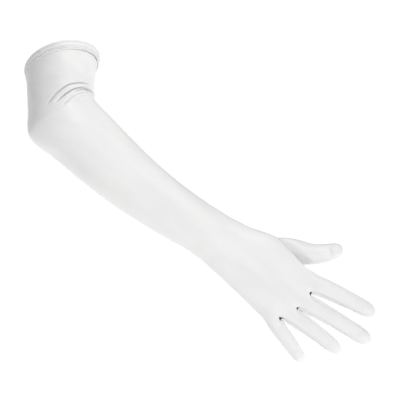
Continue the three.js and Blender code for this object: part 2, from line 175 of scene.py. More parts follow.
# Cross wrinkles of a finger: their distance behind the tip and their height
JOINT_WRINKLES = ((24, 0.16), (45, 0.20))
WRINKLE_SPREAD, WRINKLE_PERIOD = 5.5, 0.95

# The cloth that spans from knuckle to knuckle, the dip of the thumb beside the edge of the hand, a fold in it,
# and the shade painted along that edge and into the fold
KNUCKLE_SPAN = {"high": 0.8, "width": 3.6}
THUMB_DIP = {"deep": 3.6, "edge": 1.2, "reach": 7.0}
THUMB_FOLD = {"at": 7.5, "width": 1.7, "deep": 0.9, "shade": 0.05}
THUMB_SHADE = {"reach": 4.2, "top": 0.15, "bottom": 0.45}

# The long side seam's groove, in degrees round the sleeve and in depth, and the dent along every other seam
SIDE_SEAM = {"width": 2.4, "deep": 0.45}
SEAM_DENT = 0.35

SATIN_THICKNESS = 0.5
SEAM_GAP = 0.12

# A stitch: its length, its step along a seam, its width in the hem and in a seam, its flatness and its sides,
# and its shape, as places along it with the thickness there
STITCH = {"length": 1.9, "pitch": 2.7, "hem": 0.36, "seam": 0.3, "flat": 0.8, "sides": 6}
STITCH_SHAPE = np.array([(-0.5, 0.25), (-0.36, 0.9), (0, 1.0), (0.36, 0.9), (0.5, 0.25)])

# How far the line from the elbow to the fingertips slopes down, in degrees
ARM_SLOPE = 37.6

# Width, length and area of each strip between the fingers before it was sewn in, in metres
STRIP_CUTS = {
    "fourchette_index_middle": (0.013, 0.150, 0.0014),
    "fourchette_middle_ring": (0.012, 0.150, 0.0013),
    "fourchette_ring_little": (0.011, 0.130, 0.00104),
}

# Camera, lights and floor, in metres and watts
FRAME_WIDTH, FRAME_MIDDLE = 0.4576, (0.16115, AXIS_Y * MM, -0.16005)
CAMERA_DISTANCE, SENSOR = 8.0, 36
LIGHT_AIM, LIGHT_SIZE = (0.15, -0.04, -0.15), 1.2
LIGHTS = {
    "key": ((0.7, -1.9, 1.75), 24),
    "top": ((0.2, 0.1, 2.4), 17),
    "right": ((1.7, -1.6, 1.3), 1.2),
    "front": ((0.15, -3.0, 0.0), 2.9),
}
FLOOR = {"radius": 2.4, "height": -0.62, "grey": 0.82, "glow": 0.55, "around": 48}

# The white backdrop and the room above it: the heights where one fades into the other, and how bright each
# is. At the front left the backdrop is nearly dark
BACKDROP = {"edge": (0.16, 0.34), "bright": 1.05, "room": 0.23,
            "dim": 0.95, "front": (0.1, 0.6), "left": (-0.3, 0.3)}


def smoothstep(value, low, high):
    """0 at low, 1 at high and smooth between: 3 t squared less 2 t cubed."""
    t = np.clip((value - low) / (high - low), 0, 1)
    return t * t * (3 - 2 * t)


def bump(value, middle, width):
    """A bell, 1 at the middle: e to minus the square of the distance from it over the width."""
    return np.exp(-((value - middle) / width) ** 2)


def lerp(a, b, t):
    """The value t of the way from a to b."""
    return a + (b - a) * t


def unit(vector):
    """The vector or vectors at length 1."""
    vector = np.asarray(vector, float)
    return vector / np.maximum(np.linalg.norm(vector, axis=-1, keepdims=True), 1e-12)


def stacked(values):
    """The values with one more axis, to go with x, y and z."""
    return np.asarray(values, float)[..., None]


def row_distances(middles):
    """Distances along a table's rows: the running sum of the steps between their middles."""
    steps = np.linalg.norm(np.diff(middles, axis=0), axis=1)
    return np.concatenate([[0], np.cumsum(steps)])


def table_value(rows, at, place):
    """All columns of a table at places: cubic Hermite spans with the slopes of the neighbouring rows."""
    last = len(rows) - 1
    row = np.arange(len(rows))
    before, after = np.maximum(row - 1, 0), np.minimum(row + 1, last)
    slopes = (rows[after] - rows[before]) / stacked(at[after] - at[before])
    i = np.clip(np.searchsorted(at, place, side="left") - 1, 0, last - 1)
    span = stacked(at[i + 1] - at[i])
    t = stacked(place - at[i]) / span
    level = lerp(rows[i], rows[i + 1], (3 - 2 * t) * t * t)
    return level + t * (1 - t) * span * ((1 - t) * slopes[i] - t * slopes[i + 1])


SECTION_AT = row_distances((SECTIONS[:, [0, 4, 1]] + SECTIONS[:, [2, 4, 3]]) / 2)
KNUCKLE_LENGTH = SECTION_AT[-1]
THUMB_AT = row_distances(THUMB[:, :3])


def section_at(length):
    """Sections at distances from the mouth: columns by name, and the two edges as points."""
    values = table_value(SECTIONS, SECTION_AT, length)
    section = dict(zip(SECTION_COLUMNS, np.moveaxis(values, -1, 0)))
    for edge in ("outer", "inner"):
        section[edge] = np.stack([section[edge + "_x"], section["y"], section[edge + "_z"]], axis=-1)
    return section


def section_ahead(section):
    """The direction towards the fingertips, square to the line between a section's edges."""
    return np.cross((0, 1, 0), unit(section["inner"] - section["outer"]))


def on_section(section, across, depth):
    """Points of a section: its edges blended by across, from -1 outer to 1 inner, plus the bow times 1
    less across squared, plus the half depth times depth, from -1 at the back to 1 at the palm."""
    across, depth = stacked(across), stacked(depth)
    ahead = section_ahead(section)
    lean = np.radians(stacked(section["lean"]))
    to_palm = ahead * np.sin(lean) + np.array([0, 1, 0]) * np.cos(lean)
    half_depth = np.where(depth < 0, stacked(section["back"]), stacked(section["palm"]))
    line = lerp(section["outer"], section["inner"], (1 + across) / 2)
    return line + ahead * stacked(section["bow"]) * (1 - across * across) + to_palm * depth * half_depth


def finger_angle(column, side):
    """Angles of a finger's columns, in radians: one at each side, the others even from half the strip's
    angle on."""
    half = FINGER_COLUMNS // 2
    turned = column % half
    angle = np.where(turned == 0, 0, lerp(side, 180 - side, (turned - 1) / (half - 2)))
    return np.radians(np.where(column < half, angle, 180 + angle))


def on_web_row(column):
    """Where columns meet the row where the fingers part: across by the fingers' shares of the row, and
    depth as the sine of the angle on the finger."""
    ends = np.concatenate([[1], 1 - 2 * np.cumsum([finger["share"] for finger in FINGERS.values()])])
    from_radial = np.minimum(column, COLUMNS - column)
    finger = np.clip((from_radial - 1) // FINGER_SPAN, 0, len(FINGERS) - 1)
    step = from_radial - 1 - FINGER_SPAN * finger
    angle = finger_angle(step + 1, SIDE_ANGLE[0])
    beside_edge = (from_radial == 1) | (from_radial == ULNAR - 1)
    part = np.where(beside_edge, (1 - np.cos(angle)) / 2, step / FINGER_SPAN)
    across = lerp(ends[finger], ends[finger + 1], part)
    on_edge = (from_radial == 0) | (from_radial == ULNAR)
    return np.where(on_edge, np.sign(ULNAR / 2 - from_radial), across), np.where(on_edge, 0, np.sin(angle))


def through(ring):
    """Control points of a closed ring whose smoothed curve, a sixth, four sixths and a sixth of three
    neighbours, passes through the ring's points."""
    here = np.eye(len(ring))
    return np.linalg.solve((4 * here + np.roll(here, 1, axis=0) + np.roll(here, -1, axis=0)) / 6, ring)


class Cage:
    """Coarse cloth: points, the place of each on the sleeve, and faces with the piece that each is in."""

    def __init__(self):
        self.points = np.empty((0, 3))
        self.places = np.empty((0, 3))
        self.faces = []
        self.pieces = []

    def add_ring(self, ring, places=None):
        """Adds a ring of points and returns their numbers. A place is distance, cosine and sine of the
        angle."""
        first = len(self.points)
        if places is None:
            places = np.tile(PAST_SLEEVE, (len(ring), 1))
        self.points = np.concatenate([self.points, ring])
        self.places = np.concatenate([self.places, places])
        return np.arange(first, len(self.points))

    def join(self, first, second, pieces):
        """Faces between two rings, from each column to the next, for the columns that have a piece."""
        sides = np.stack([first, np.roll(first, -1), np.roll(second, -1), second], axis=1)
        used = [column for column, piece in enumerate(pieces) if piece]
        self.faces += sides[used].tolist()
        self.pieces += [PIECES.index(pieces[column]) for column in used]

    def close_tip(self, ring, tip_ring, pole, pieces):
        """Closes a tube with a dome: rings ahead by the sine of their angle and as wide as its cosine."""
        for lift in np.radians(DOME_RINGS):
            after = self.add_ring(tip_ring(math.sin(lift), math.cos(lift)))
            self.join(ring, after, pieces)
            ring = after
        end = self.add_ring([pole])
        self.faces += np.stack([ring, np.roll(ring, -1), np.repeat(end, len(ring))], axis=1).tolist()
        self.pieces += [PIECES.index(piece) for piece in pieces]


def sleeve_ring(length):
    """Points and places of a ring of the sleeve or hand: across is the cosine of the angle, the powers of
    across and depth add up to 1, and near the knuckles the columns shift to the fingers' lines."""
    spread = smoothstep(length, HAND_START, KNUCKLE_LENGTH)
    power = lerp(ROUND_SLEEVE, ROUND_KNUCKLES, spread)
    column = np.arange(COLUMNS)
    angle = column / COLUMNS * 2 * math.pi
    across = lerp(np.cos(angle), on_web_row(column)[0], spread)
    depth = np.maximum(0, 1 - np.abs(across) ** power) ** (1 / power)
    ring = on_section(section_at(length), across, np.where(column < ULNAR, -depth, depth))
    return through(ring), np.stack([np.full(COLUMNS, length), np.cos(angle), np.sin(angle)], axis=1)


def web_section(bow, half):
    """The row where the fingers part, as a section."""
    outer, inner = (np.array([x, AXIS_Y, z]) for x, z in (WEB["outer"], WEB["inner"]))
    return {"outer": outer, "inner": inner, "back": half, "palm": half, "lean": 0, "bow": bow}


def web_ring():
    """The ring where the fingers part. It stays behind where a strip starts."""
    column = np.arange(COLUMNS)
    across, depth = on_web_row(column)
    at_strip = np.isin(column, [crotch[key] for crotch in CROTCHES for key in ("back", "palm")])
    section = web_section(WEB["bow"] - CROTCH_AHEAD * at_strip, WEB["half"])
    return on_section(section, across, np.where(column < ULNAR, -depth, depth))


def build_cage():
    """The whole glove as a cage, and the axes of its fingertips."""
    cage = Cage()
    reached = TUCK["start"]
    rings = [cage.add_ring(*sleeve_ring(reached))]
    for end, step in STRETCHES:
        count = round((end - reached) / step)
        rings += [cage.add_ring(*sleeve_ring(lerp(reached, end, i / count))) for i in range(1, count + 1)]
        reached = end
    hole_end = len(rings) - 1
    hole_start = hole_end - HOLE_RINGS
    hole_column = COLUMNS - HOLE_COLUMNS

    web = web_ring()
    places = cage.places[rings[-1]]
    places[:, 0] = KNUCKLE_LENGTH
    rings.append(cage.add_ring(lerp(cage.points[rings[-1]], web, 0.5), places))
    rings.append(cage.add_ring(web, places))
    whole = ["glove_body"] * COLUMNS
    beside_hole = ["glove_body"] * hole_column + [None] * HOLE_COLUMNS
    for i, (first, second) in enumerate(zip(rings, rings[1:])):
        cage.join(first, second, beside_hole if hole_start <= i < hole_end else whole)

    axes = add_fingers(cage, rings[-1])
    rim = [rings[i][0] for i in range(hole_start, hole_end)]
    rim += [rings[hole_end][column % COLUMNS] for column in range(COLUMNS, hole_column, -1)]
    rim += [rings[i][hole_column] for i in range(hole_end, hole_start, -1)]
    rim += [rings[hole_start][column] for column in range(hole_column, COLUMNS)]
    axes["thumb"] = add_thumb(cage, np.array(rim))
    return cage, axes


def add_fingers(cage, web):
    """The four fingers, each from its part of the last ring. Returns their axes at the tip."""
    between = [web[0]]
    for crotch in CROTCHES:
        across = on_web_row(np.array(crotch["back"]))[0]
        point = on_section(web_section(WEB["bow"] + CROTCH_AHEAD, 0), across, 0)
        between.append(cage.add_ring([point])[0])
    between.append(web[ULNAR])
    beside = (*PIECES[:-1], "glove_body")
    half = FINGER_COLUMNS // 2
    axes = {}
    for order, (name, finger) in enumerate(FINGERS.items()):
        first = 1 + FINGER_SPAN * order
        back = web[first:first + FINGER_SPAN + 1]
        palm = web[COLUMNS - first - FINGER_SPAN:COLUMNS - first + 1]
        ring = np.array([between[order], *back, between[order + 1], *palm])
        pieces = ["glove_body"] * FINGER_COLUMNS
        pieces[0] = pieces[-1] = beside[order]
        pieces[half - 1] = pieces[half] = beside[order + 1]
        axes[name] = add_finger(cage, finger, ring, pieces)
    return axes


def add_finger(cage, finger, ring, pieces):
    """A finger: ovals along the line to its tip, bent to the side by 4 t (1 - t) and curled by t squared,
    where t is the share of the way. Returns its axis at the tip."""
    start = (cage.points[ring[0]] + cage.points[ring[FINGER_COLUMNS // 2]]) / 2
    start[1] = AXIS_Y
    tip = np.array([finger["tip"][0], AXIS_Y, finger["tip"][1]])
    along = unit(tip - start)
    to_side = np.cross(along, (0, 1, 0))
    to_back = np.array([0, -FINGER_THICKNESS, 0])
    curl = np.array([0, finger["curl"], 0])
    length = float(np.linalg.norm(tip - start))
    base, mid, end = finger["widths"]
    straight = length - end * FINGER_DOME

    def finger_ring(distance, width):
        t = distance / length
        middle = start + along * distance + to_side * finger["side"] * 4 * t * (1 - t) + curl * t * t
        side = lerp(*SIDE_ANGLE, min(1, distance / straight))
        angle = stacked(finger_angle(np.arange(FINGER_COLUMNS), side))
        return through(middle + (to_side * np.cos(angle) + to_back * np.sin(angle)) * width / 2)

    steps = round(straight / FINGER_STEP)
    for t in np.arange(1, steps + 1) / steps:
        width = lerp(base, mid, 2 * t) if t < 0.5 else lerp(mid, end, 2 * t - 1)
        after = cage.add_ring(finger_ring(straight * t, width))
        cage.join(ring, after, pieces)
        ring = after
    dome = length - straight + TIP_ALLOWANCE
    cage.close_tip(ring, lambda rise, scale: finger_ring(straight + dome * rise, end * scale),
                   tip + curl + along * TIP_ALLOWANCE, ["glove_body"] * FINGER_COLUMNS)
    outward = np.array([0, -1.0, 0])
    return {"tip": tip + curl, "along": along, "side": to_side, "out": outward, "width": end, "nail": 1}


def add_thumb(cage, rim):
    """The thumb: rings blended from the rim of its hole to ovals of the thumb's table. Returns its axis."""
    length, root = THUMB_AT[-1], THUMB_AT[THUMB_ROOT_ROW]
    rim_points = cage.points[rim]
    angles = -np.radians(THUMB_TURN + 360 * np.arange(len(rim)) / len(rim))

    def thumb_ring(place, ahead, scale):
        behind = max(place - 1, 0)
        row = table_value(THUMB, THUMB_AT, place)
        along = unit(table_value(THUMB, THUMB_AT, behind + 1)[:3] - table_value(THUMB, THUMB_AT, behind)[:3])
        to_top = unit(np.array([0, 0, 1]) - along * along[2])
        to_back = np.cross(to_top, along)
        turned = math.sin(min(1, place / root) * math.pi / 2)
        high, deep = row[3] * scale / 2, row[4] * scale / 2
        oval = np.outer(np.cos(angles) * high, to_top) + np.outer(np.sin(angles) * deep, to_back)
        return lerp(rim_points, through(row[:3] + along * ahead + oval), turned)

    ring, pieces = rim, ["thumb_piece"] * len(rim)
    steps = round(length / THUMB_STEP)
    for i in range(1, steps + 1):
        after = cage.add_ring(thumb_ring(length * i / steps, 0, 1))
        cage.join(ring, after, pieces)
        ring = after
    end = table_value(THUMB, THUMB_AT, length)[:3]
    along = unit(end - table_value(THUMB, THUMB_AT, length - 1)[:3])
    reach = THUMB_TIP + TIP_ALLOWANCE / 2
    pole = end + along * reach
    cage.close_tip(ring, lambda rise, scale: thumb_ring(length, reach * rise, scale), pole, pieces)
    side = unit(np.array([0, 0, 1]) - along * along[2])
    return {"tip": end + along * THUMB_TIP, "along": along, "side": side, "out": -np.cross(side, along),
            "width": THUMB_WIDTH, "nail": THUMB_NAIL}


def refine(cage):
    """The cage after two smooth subdivisions: points, normals, places, faces and the piece of each face."""
    mesh = bpy.data.meshes.new("cage")
    mesh.from_pydata(cage.points.tolist(), [], cage.faces)
    for name in PIECES:
        mesh.materials.append(bpy.data.materials.new(name))
    mesh.polygons.foreach_set("material_index", np.array(cage.pieces, np.int32))
    place = mesh.attributes.new("place", "FLOAT_VECTOR", "POINT")
    place.data.foreach_set("vector", cage.places.astype(np.float32).ravel())
    holder = bpy.data.objects.new("cage", mesh)
    bpy.context.scene.collection.objects.link(holder)
    smooth = holder.modifiers.new("smooth", "SUBSURF")
    smooth.levels = smooth.render_levels = 2
    fine = bpy.data.meshes.new_from_object(holder.evaluated_get(bpy.context.evaluated_depsgraph_get()))
    count = len(fine.vertices)
    points, normals, places = (np.empty(count * 3, np.float32) for _ in range(3))
    fine.vertices.foreach_get("co", points)
    fine.vertices.foreach_get("normal", normals)
    fine.attributes["place"].data.foreach_get("vector", places)
    corners = np.empty(len(fine.loops), np.int32)
    fine.loops.foreach_get("vertex_index", corners)
    pieces = np.empty(len(fine.polygons), np.int32)
    fine.polygons.foreach_get("material_index", pieces)
    bpy.data.objects.remove(holder)
    for spare in (mesh, fine):
        bpy.data.meshes.remove(spare)
    for name in PIECES:
        bpy.data.materials.remove(bpy.data.materials[name])
    points, normals, places = (values.reshape(count, 3).astype(float) for values in (points, normals, places))
    return points, normals, places, corners.reshape(-1, 4), pieces


def along_path(places, at, path):
    """Threes of numbers at places along a path, on straight lines between those at its distances."""
    return np.stack([np.interp(places, at, path[:, axis]) for axis in range(3)], axis=1)


def sleeve_direction(length):
    """Direction of the sleeve's middle line at distances from the mouth: the slope of its middles."""
    grid = np.arange(0, KNUCKLE_LENGTH, 2.0)
    ahead = np.gradient(on_section(section_at(grid), 0, 0), axis=0)
    return unit(along_path(length, grid, ahead))


def fold_relief(length, angle):
    """Folds of the crook: how far they push the cloth out, how far each lip slides down, and their painted
    shade.
    Lip and puff fall off as e to the distance from the fold's line, and groove and slide are bells across
    it."""
    out, over, shade = (np.zeros_like(length) for _ in range(3))
    for row in CROOK_FOLDS:
        fold = dict(zip(FOLD_COLUMNS, row))
        turned = angle * fold["side"]
        low, high = fold["angles"][0], fold["angles"][-1]
        ends = smoothstep(turned, low - 4, low + 9) * (1 - smoothstep(turned, high - 9, high + 3))
        x = length - np.interp(turned, fold["angles"], fold["at"])
        above = fold["lip"] * np.exp(np.minimum(x, 0) / FOLD["fade"])
        below = fold["puff"] * np.exp(-np.maximum(x, 0) / FOLD["fade"])
        groove = bump(x, 0, FOLD["groove"])
        out += ends * (lerp(above, below, smoothstep(x, -0.8, 0.8)) - fold["cut"] * groove)
        over += ends * fold["over"] * bump(x, FOLD["lip_at"], FOLD["lip_width"])
        # Painted shade: darkens the satin in each groove, standing in for the shade deeper in a real fold
        dark = lerp(*fold["shade"], np.clip((turned - low) / (high - low), 0, 1))
        shade = np.maximum(shade, ends * dark * groove)
    return out, over, shade


def ripple_relief(points, length, angle):
    """Faint waves of the stretched cloth: sines across the elbow and along the wrist, inside bells, and a
    product of sines of the place all over."""
    x, y, z = points.T
    elbow = np.sin(angle / 9.0 + 0.35 * length / 3 + 0.8 * np.sin(y / 14))
    wrist = np.sin((length + 0.10 * angle) / 4.2 + 0.7 * np.sin(angle / 31))
    elbow *= ELBOW_DRAG["height"] * bump(length, ELBOW_DRAG["at"], ELBOW_DRAG["spread"])
    wrist *= WRIST_DRAG["height"] * bump(length, WRIST_DRAG["at"], WRIST_DRAG["spread"])
    return elbow + wrist + UNEVEN_HEIGHT * np.sin(x / 17 + 0.8 * np.sin(z / 23)) * np.sin(z / 19 + y / 13)


def nail_relief(points, axis):
    """A nail under the cloth of a finger's end: a low plateau between smooth steps, and a bell as dent."""
    offset = points - axis["tip"]
    behind, side = -offset @ axis["along"], offset @ axis["side"]
    outside = smoothstep(offset @ axis["out"], 0.5, 3.0)
    across = np.exp(-(side / (axis["width"] * 0.33)) ** 4)
    plate = smoothstep(behind, *NAIL["start"]) * (1 - smoothstep(behind, *NAIL["end"]))
    dent = bump(behind, NAIL["dent"], NAIL["dent_width"])
    close = (behind < 24) & (behind > -4) & (np.abs(side) < axis["width"])
    return axis["nail"] * outside * across * (NAIL["high"] * plate - NAIL["deep"] * dent) * close


def finger_wrinkles(points, axes):
    """Small cross wrinkles at the finger joints: a fine sine along the finger inside a bell."""
    out = np.zeros(len(points))
    for name in FINGERS:
        axis = axes[name]
        offset = points - axis["tip"]
        behind, side = -offset @ axis["along"], offset @ axis["side"]
        near = (np.abs(side) < axis["width"] * 0.75) & (behind < 66) & (behind > 0)
        wave = np.sin(behind / WRINKLE_PERIOD + side / 9)
        for joint, height in JOINT_WRINKLES:
            out += near * height * bump(behind, joint, WRINKLE_SPREAD) * wave
    return out


def crotch_points(points, faces, pieces, axes):
    """The ends of each strip between two fingers, on the back, where a gap opens, and on the palm."""
    found = []
    along = [axes[name]["along"] for name in FINGERS]
    for crotch, piece, radial, ulnar in zip(CROTCHES, PIECES[1:], along, along[1:]):
        used = points[np.unique(faces[pieces == PIECES.index(piece)])]
        ahead = unit(radial + ulnar)
        for side in (-1, 1):
            near = used[(used[:, 1] - AXIS_Y) * side > 3]
            gap = {"open": crotch["open"] if side < 0 else 0, "reach": crotch["reach"]}
            point = near[np.argmin(near @ ahead)]
            found.append({"piece": piece, "point": point, "ahead": ahead, "side": side, **gap})
    return found


def knuckle_fill(points, crotches):
    """Fills the hollow behind each crotch from knuckle to knuckle: a bell across, between steps along."""
    out = np.zeros(len(points))
    for crotch in crotches:
        offset = points - crotch["point"]
        behind = -offset @ crotch["ahead"]
        across = offset @ np.cross(crotch["ahead"], (0, 1, 0))
        facing = smoothstep(offset[:, 1] * crotch["side"], -4, -1)
        span = smoothstep(behind, 0.5, 4) * (1 - smoothstep(behind, 10, 20))
        out += KNUCKLE_SPAN["high"] * bump(across, 0, KNUCKLE_SPAN["width"]) * span * facing
    return out


def thumb_crease(points, faces, pieces):
    """The dip of the thumb's cloth beside the edge of the hand, and the shade painted there: bells of the
    distance from that edge, deeper and darker towards its lower end."""
    own = np.unique(faces[pieces == PIECES.index("thumb_piece")])
    body = np.unique(faces[pieces == PIECES.index("glove_body")])
    edge = points[np.intersect1d(own, body)]
    edge = edge[np.abs(edge[:, 1] - AXIS_Y) < 2.5]
    distance = np.linalg.norm(points[own][:, None] - edge[None], axis=2).min(axis=1)
    low = smoothstep(-points[own, 2], 204, 216)
    fold = bump(distance, THUMB_FOLD["at"], THUMB_FOLD["width"]) * low
    dip = (1 - bump(distance, 0, THUMB_DIP["edge"])) * bump(distance, 0, THUMB_DIP["reach"])
    # Painted shade: the thumb is darkened near the hand's edge, where the edge shadows it
    dark = bump(distance, 0, THUMB_SHADE["reach"]) * lerp(THUMB_SHADE["top"], THUMB_SHADE["bottom"], low)
    out, shade = np.zeros(len(points)), np.zeros(len(points))
    out[own] = -THUMB_DIP["deep"] * dip - THUMB_FOLD["deep"] * fold
    shade[own] = dark + THUMB_FOLD["shade"] * fold
    return out, shade


def more_than_one(groups, owners, count):
    """Whether the members of each group have more than one owner: the lowest and the highest differ."""
    lowest = np.full(count, owners.max() + 1)
    highest = np.full(count, -1)
    np.minimum.at(lowest, groups, owners)
    np.maximum.at(highest, groups, owners)
    return lowest != highest


def face_sides(faces):
    """The sides of all faces as pairs of points, each from a corner to the next."""
    return np.stack([faces, np.roll(faces, -1, axis=1)], axis=2).reshape(-1, 2)


def vertex_normals(points, faces):
    """Smooth normals of four-sided faces: the sum of the cross products of their diagonals."""
    face = np.cross(points[faces[:, 2]] - points[faces[:, 0]], points[faces[:, 3]] - points[faces[:, 1]])
    total = np.zeros_like(points)
    for corner in faces.T:
        np.add.at(total, corner, face)
    return unit(total)


def new_mesh(name, points, faces):
    """An object from points in millimetres and faces of any size, all smooth."""
    mesh = bpy.data.meshes.new(name)
    mesh.from_pydata((np.asarray(points) * MM).tolist(), [], faces)
    mesh.polygons.foreach_set("use_smooth", np.ones(len(mesh.polygons), bool))
    mesh.update()
    piece = bpy.data.objects.new(name, mesh)
    bpy.context.scene.collection.objects.link(piece)
    return piece


def set_painted_shade(piece, values):
    """Notes on a piece the shade painted into its creases: how far the satin's colour is darkened at each
    point.
    """
    painted_crease_shade = piece.data.attributes.new("painted_crease_shade", "FLOAT", "POINT")
    painted_crease_shade.data.foreach_set("value", np.asarray(values, np.float32))


def cloth_piece(name, points, normals, faces, crotches, shade):
    """One cut of cloth as a closed solid: the outside, the inside, moved in along the normals by the
    thickness, and the raw edge between them, which stops short of the seam."""
    used, own = np.unique(faces, return_inverse=True)
    own = own.reshape(faces.shape)
    outside = points[used].copy()
    sides = face_sides(own)
    count = len(used)
    border = sides[~np.isin(sides @ (count, 1), sides @ (1, count))]
    inward = np.zeros_like(outside)
    centres = outside[own].mean(axis=1)
    for corner in own.T:
        np.add.at(inward, corner, unit(centres - outside[corner]))
    edge = np.unique(border)
    outside[edge] += unit(inward[edge]) * SEAM_GAP
    for crotch in crotches:
        if crotch["piece"] == name:
            near = bump(np.linalg.norm(outside - crotch["point"], axis=1), 0, crotch["reach"])
            outside += crotch["ahead"] * stacked(crotch["open"] * near)
    inside = outside - normals[used] * SATIN_THICKNESS
    raw_edge = np.concatenate([border[:, ::-1], border + count], axis=1)
    all_faces = np.concatenate([own, own[:, ::-1] + count, raw_edge])
    piece = new_mesh(name, np.concatenate([outside, inside]), all_faces.tolist())
    # Painted shade of the creases, carried on the outside and the inside
    set_painted_shade(piece, np.tile(shade[used], 2))
    return piece


def on_hem(angle, length, out):
    """Points of the hem: the sleeve's oval at that distance from the mouth, made larger by out, and beside
    the crook by the flare's bell times the square of the share of the hem's height."""
    section = section_at(np.maximum(length, 0))
    half = np.linalg.norm(section["inner"] - section["outer"], axis=-1) / 2
    turned = (np.degrees(angle) - HEM_FLARE["angle"] + 180) % 360 - 180
    share = length / HEM["height"]
    out = out + HEM_FLARE["lift"] * bump(turned, 0, HEM_FLARE["width"]) * share * np.abs(share)
    across = np.cos(angle) * (1 + out / half)
    depth = -np.sin(angle) * (1 + out / section["back"])
    return on_section(section, across, depth) + section_ahead(section) * stacked(np.minimum(length, 0))


def hem_lines(length, width):
    """The sum of a bell at each line of the hem."""
    return sum(bump(length, line, width) for line in HEM_LINES)


def hem_profile():
    """Section of the hem as distance from the mouth and height above the sleeve: half a sine less a
    channel at each line, then the lower edge, the inside and the rolled edge at the mouth."""
    height, proud = HEM["height"], HEM["proud"]
    length = np.linspace(0.7, height - 0.5, 38)
    puff = HEM["puff"] * np.sin(math.pi * np.minimum(1, length / HEM_ROWS[0]))
    surface = proud + puff - HEM_CHANNEL["depth"] * hem_lines(length, HEM_CHANNEL["width"])
    lower = [(height - 0.12, proud - 0.22), (height, proud - 0.62), (height - 0.12, proud - 1.0)]
    inside = np.linspace(height - 0.6, 0.7, 8)
    roll = [(0.12, proud - 1.05), (-0.1, proud - 0.65), (0.12, proud - 0.25)]
    return np.concatenate([
        np.stack([length, surface], axis=1), lower,
        np.stack([inside, np.full(len(inside), proud - HEM["wall"])], axis=1), roll])


def hem_band():
    """The hem: its profile carried round the mouth's oval, with a waver of two sines of the angle."""
    around = HEM["around"]
    length, out = hem_profile().T
    angle = stacked(np.arange(around) / around * 2 * math.pi)
    waver = 0.10 * np.sin(9 * angle + length / 2) + 0.08 * np.sin(17 * angle)
    points = on_hem(angle, length, out + waver * (0.4 + 0.6 * length / HEM["height"]))
    grid = np.arange(around * len(length)).reshape(around, -1)
    beside = np.roll(grid, -1, axis=0)
    faces = np.stack([grid, beside, np.roll(beside, -1, axis=1), np.roll(grid, -1, axis=1)], axis=-1)
    band = new_mesh("cuff_hem_band", points.reshape(-1, 3), faces.reshape(-1, 4).tolist())
    # Painted shade: the hem's colour is darkened along each channel line, standing in for the shade in it
    set_painted_shade(band, np.tile(HEM_CHANNEL["shade"] * hem_lines(length, HEM_CHANNEL["width"]), around))
    return band


def stitches(name, centres, directions, normals, width):
    """Stitches, one at each centre: bars of thread along the row, whose flat round section swells from the
    pointed ends to the middle."""
    along, up = unit(directions), unit(normals)
    side = np.cross(along, up)
    sides = STITCH["sides"]
    angle = stacked(2 * math.pi * np.arange(sides) / sides)
    place, size = STITCH_SHAPE.T[:, :, None, None]
    section = side[:, None] * np.cos(angle) + up[:, None] * np.sin(angle) * STITCH["flat"]
    bar = centres[:, None, None] + along[:, None, None] * place * STITCH["length"]
    points = bar + section[:, None] * size * width / 2
    ring = np.arange(points[..., 0].size).reshape(len(centres), len(STITCH_SHAPE), sides)
    after = np.roll(ring, -1, axis=2)
    walls = np.stack([ring[:, :-1], after[:, :-1], after[:, 1:], ring[:, 1:]], axis=-1)
    ends = np.concatenate([ring[:, 0, ::-1], ring[:, -1]])
    return new_mesh(name, points.reshape(-1, 3), walls.reshape(-1, 4).tolist() + ends.tolist())


def hem_stitches():
    """The two stitch rows round the hem, half a step apart."""
    count = HEM_STITCHES["count"]
    stitch = np.concatenate([np.arange(count) + 0.5 * order for order in range(len(HEM_ROWS))])
    angle, row = stitch / count * 2 * math.pi, np.repeat(HEM_ROWS, count)
    out = HEM["proud"] - HEM_STITCHES["below"]
    centres = on_hem(angle, row, out)
    along = on_hem(angle + 0.01, row, out) - on_hem(angle - 0.01, row, out)
    outward = centres - on_section(section_at(row), 0, 0)
    return stitches("hem_stitches", centres, along, outward, STITCH["hem"])


def seam_chains(faces, pieces):
    """Chains of neighbouring points along the sides that two pieces share. A chain ends where seams meet."""
    pairs, group = np.unique(np.sort(face_sides(faces), axis=1), axis=0, return_inverse=True)
    owners = np.repeat(pieces, faces.shape[1])
    links = {}
    for a, b in pairs[more_than_one(group.ravel(), owners, len(pairs))].tolist():
        links.setdefault(a, []).append(b)
        links.setdefault(b, []).append(a)
    chains, seen = [], set()
    starts = [index for index, ends in sorted(links.items()) if len(ends) != 2] + sorted(links)
    for start in starts:
        for here in links[start]:
            if (start, here) in seen:
                continue
            chain = [start, here]
            seen.update([(start, here), (here, start)])
            while len(links[here]) == 2:
                onward = [index for index in links[here] if (here, index) not in seen]
                if not onward:
                    break
                seen.update([(here, onward[0]), (onward[0], here)])
                here = onward[0]
                chain.append(here)
            chains.append(chain)
    return [chain for chain in chains if len(chain) > 6]


def seam_stitches(points, normals, faces, pieces):
    """Stitches in the seams between the pieces: evenly along each seam, just under its surface."""
    rows = []
    for chain in seam_chains(faces, pieces):
        path, up = points[chain], normals[chain]
        at = row_distances(path)
        count = int(at[-1] / STITCH["pitch"])
        if count < 2:
            continue
        places = (np.arange(count) + 0.5) / count * at[-1]
        centres, ahead, behind = (along_path(places + shift, at, path) for shift in (0, 0.4, -0.4))
        upward = along_path(places, at, up)
        rows.append((centres - unit(upward) * 0.05, ahead - behind, upward))
    centres, along, upward = (np.concatenate(part) for part in zip(*rows))
    return stitches("seam_stitches", centres, along, upward, STITCH["seam"])


def add_node(nodes, kind, inputs):
    """A new shader node with the constants of its inputs."""
    node = nodes.new(kind)
    for socket, value in inputs.items():
        node.inputs[socket].default_value = value
    return node


